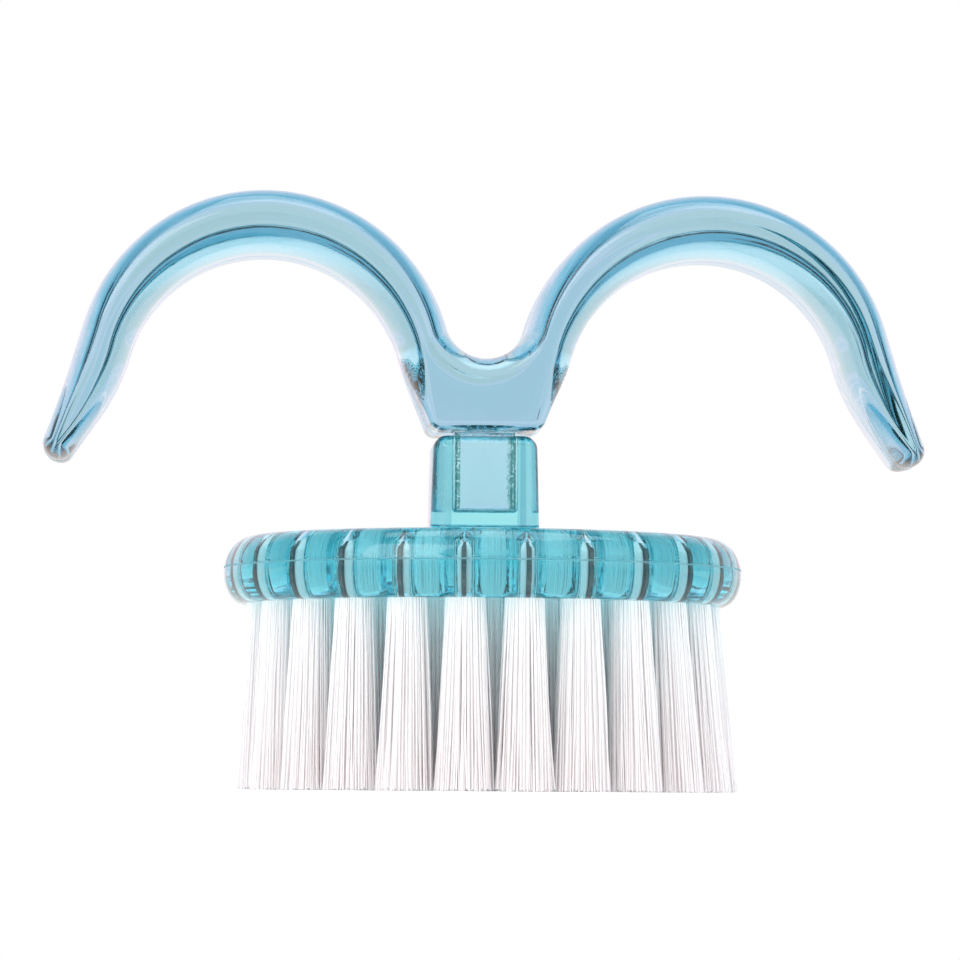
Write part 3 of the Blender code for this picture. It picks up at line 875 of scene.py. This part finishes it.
def anchor_mesh(name, width):
    """A flat strip with a barb at each corner, lying along the head's radius and standing in z."""
    half_w = width / 2
    half_h = ANCHOR_HEIGHT / 2
    notched = half_w - ANCHOR_BARB
    quarter = ((half_w, half_h * ANCHOR_SHOULDER), (notched, half_h * ANCHOR_NOTCH),
               (half_w - ANCHOR_BARB_TIP, half_h * ANCHOR_BARB_TOP), (notched, half_h))
    outline = []
    for sx, sz in ((1, 1), (-1, 1), (-1, -1), (1, -1)):
        corner = [(sx * x, sz * z) for x, z in quarter]
        outline += corner if sx * sz > 0 else corner[::-1]
    shape = bmesh.new()
    loft(shape, [[(x, y, z) for x, z in outline] for y in (-ANCHOR_THICKNESS / 2, ANCHOR_THICKNESS / 2)])
    bmesh.ops.recalc_face_normals(shape, faces=shape.faces)
    bmesh.ops.bevel(shape, geom=shape.edges, offset=ANCHOR_EDGE, segments=ANCHOR_EDGE_STEPS,
                    profile=ANCHOR_EDGE_PROFILE, affect="EDGES")
    return mesh_from(name, shape)


def build_tufts(white, metal):
    chance = np.random.default_rng(RANDOM_SEED)
    anchor_z = BRISTLE_LENGTH + HOLE_DEPTH - SEAT_GAP - ANCHOR_HEIGHT / 2
    for ring, number, radius, angle in tuft_places():
        label = f"ring{ring}_{number:02d}"
        turn = Matrix.Rotation(angle, 4, "Z")
        paths = bristle_paths(ring, radius, angle, chance)
        mesh = tubes("bristles_" + label, paths, BRISTLE_RADIUS, BRISTLE_SIDES)
        mesh.transform(turn)
        finish_piece(mesh_object("bristles_" + label, mesh, white), "tuft_" + label)
        strip = anchor_mesh("anchor_" + label, ANCHOR_WIDTH if ring == 1 else INNER_ANCHOR_WIDTH)
        strip.transform(turn @ Matrix.Translation((radius, 0, anchor_z)))
        anchor = mesh_object("anchor_" + label, strip, metal)
        shade_round(anchor)
        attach(anchor, "root")


# Table, light and camera

def table_material():
    """White table top: it takes the brush's shadow near the brush and goes to plain white further out."""
    material, tree, shader = new_material("white_table")
    place = tree.place()
    grain = tree.noise(place, **TABLE_NOISE)
    tree.feed(shader.inputs["Roughness"], TABLE_ROUGHNESS)
    tree.feed(shader.inputs["Base Color"], tree.ramp(grain, TABLE_TONES))
    depth = tree.map_range(tree.axes(place)["Y"], TABLE_TINT_FRONT, TABLE_TINT_BACK)
    rays = tree.rays()
    cast = tree.mix(rays["Is Camera Ray"], tree.ramp(depth, TABLE_TINTS), WHITE)
    white = tree.add("ShaderNodeEmission", Color=cast, Strength=1.0)
    distance = tree.add("ShaderNodeVectorMath", operation="LENGTH", Vector=place).outputs["Value"]
    fade = tree.map_range(distance, *SHADOW_REACH, *PLAIN_WHITE_SHARE, interpolation_type="SMOOTHSTEP")
    share = tree.math("MULTIPLY", tree.seeing(rays), fade)
    tree.set_surface(tree.mix_shaders(share, shader.outputs["BSDF"], white.outputs["Emission"]))
    return material


def build_table():
    reach = TABLE_REACH
    corners = ((-reach, -reach), (reach, -reach), (reach, reach), (-reach, reach))
    mesh = bpy.data.meshes.new("table_top")
    mesh.from_pydata([(x, y, -TABLE_DROP) for x, y in corners], [], [(0, 1, 2, 3)])
    table = mesh_object("table_top", mesh, table_material())


def build_world():
    """White for the camera, soft light on what scatters it, and a tinted room that clear plastic shows."""
    world = bpy.data.worlds.new("studio")
    bpy.context.scene.world = world
    tree = Tree(world)
    soft = tree.nodes["Background"]
    tree.feed(soft.inputs["Color"], SOFT_COLOUR)
    tree.feed(soft.inputs["Strength"], SOFT_STRENGTH)
    direction = tree.place("Generated")
    axes = tree.axes(direction)
    facing = tree.ramp(tree.map_range(axes["Y"], -1.0, 1.0), ROOM_TINTS)
    room = tree.mix(1.0, facing, tree.ramp(axes["Z"], CEILING_TINTS), "MULTIPLY")

    # Level bands that the arches show as fine lines
    bands = tree.noise(tree.squeezed(direction, BAND_SQUEEZE), **BAND_NOISE)
    room = tree.mix(1.0, room, tree.ramp(bands, BAND_TINTS), "MULTIPLY")
    rays = tree.rays()
    seen = tree.add("ShaderNodeBackground", Color=tree.mix(rays["Is Camera Ray"], room, WHITE))
    both = tree.mix_shaders(tree.seeing(rays), soft.outputs["Background"], seen.outputs["Background"])
    tree.set_surface(both, "World Output")


def area_lamp(name, place, size, power):
    lamp = bpy.data.lights.new(name, "AREA")
    lamp.shape = "RECTANGLE"
    lamp.size, lamp.size_y = size
    lamp.energy = power
    obj = bpy.data.objects.new(name, lamp)
    bpy.context.scene.collection.objects.link(obj)
    obj.location = place
    obj.rotation_mode = "QUATERNION"
    obj.rotation_quaternion = (LAMP_AIM - place).to_track_quat("-Z", "Y")
    obj.visible_transmission = False


def build_camera():
    back = Vector((-sin(CAMERA_YAW), -cos(CAMERA_YAW), 0)) * CAMERA_DISTANCE
    place = Vector((CAMERA_AIM.x, 0, CAMERA_HEIGHT)) + back
    look = CAMERA_AIM - place
    data = bpy.data.cameras.new("camera")
    data.sensor_width = SENSOR_WIDTH
    data.lens = look.length / METRES_PER_PIXEL * SENSOR_WIDTH / IMAGE_WIDTH
    data.clip_start, data.clip_end = CAMERA_CLIP
    camera = bpy.data.objects.new("camera", data)
    bpy.context.scene.collection.objects.link(camera)
    camera.rotation_mode = "QUATERNION"
    camera.location = place
    roll = Matrix.Rotation(CAMERA_ROLL, 4, "Z").to_quaternion()
    camera.rotation_quaternion = look.to_track_quat("-Z", "Y") @ roll
    bpy.context.scene.camera = camera


def build_mouldings():
    """The handle and the head, each with the grained zone of the peg or of its socket, whose corners carry
    painted shade as dark specks.
    """
    half_peg = PEG_WIDTH / 2
    half_socket = half_peg + 2 * PEG_CLEARANCE
    half_stem = STEM_WIDTH / 2 + STEM_FLARE
    floor = STEM_TOP - PEG_LENGTH
    margin = ZONE_MARGIN
    # The corner columns of the peg and of the socket carry painted shade as dark specks
    peg = Zone(half_peg + margin, CORNER_SHADE_WIDTH, floor, HUB_BOTTOM - margin)
    socket = Zone(half_socket, CORNER_SHADE_WIDTH, floor - 2 * margin, STEM_TOP - 2 * margin)
    # The stem's corner columns around the socket carry painted shade
    stem = Zone(half_stem, half_stem - half_socket, HEAD_TOP + 2 * margin, STEM_TOP + margin)
    build_handle(clear_plastic("handle_clear_aqua", HANDLE_ABSORBED, HANDLE_DENSITY, peg, NO_ZONE, "Y", 0.0))
    head_line = HEAD_TOP - HEAD_LINE_BELOW_TOP
    build_head(clear_plastic("head_clear_aqua", HEAD_ABSORBED, HEAD_DENSITY, socket, stem, "Z", head_line))


def build_scene():
    scene = bpy.context.scene
    scene.view_settings.view_transform = "Standard"
    scene.cycles.max_bounces = MAX_BOUNCES
    scene.cycles.diffuse_bounces = DIFFUSE_BOUNCES
    scene.cycles.transmission_bounces = MAX_BOUNCES
    build_mouldings()
    build_tufts(nylon("white_nylon"), anchor_metal("anchor_steel"))
    build_table()
    build_world()
    area_lamp("key_softbox", KEY_PLACE, KEY_SIZE, KEY_POWER)
    area_lamp("top_softbox", TOP_PLACE, TOP_SIZE, TOP_POWER)
    build_camera()


build_scene()
